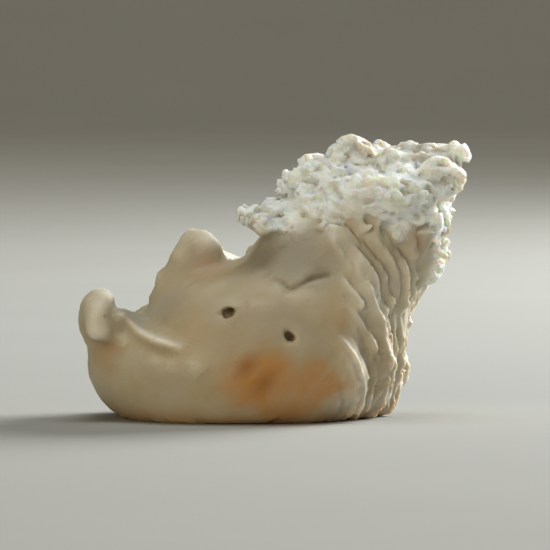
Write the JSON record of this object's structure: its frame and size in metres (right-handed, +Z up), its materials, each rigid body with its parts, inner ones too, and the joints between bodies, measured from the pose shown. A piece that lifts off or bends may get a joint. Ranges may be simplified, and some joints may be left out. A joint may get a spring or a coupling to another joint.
{
  "type": "meringue cookie",
  "caption": "Baked meringue cookie: a spooned wave of dry foam with a curled tail, a smooth face, dragged strands and a torn, crumbly crest.",
  "frame": {"origin": "centre of the bounding box's bottom, on the surface that the cookie rests on", "axes": "+Z up, +X along the cookie from its curled tail towards its leaning crest, -Y out of the smooth face"},
  "size_m": [0.051, 0.04, 0.037],
  "materials": {
    "baked_foam": "dry matt shell of baked egg white and sugar, cream white, browned to amber in its hollows and at its foot"
  },
  "bodies": {
    "root": {"meringue": "baked_foam"}
  },
  "joints": []
}
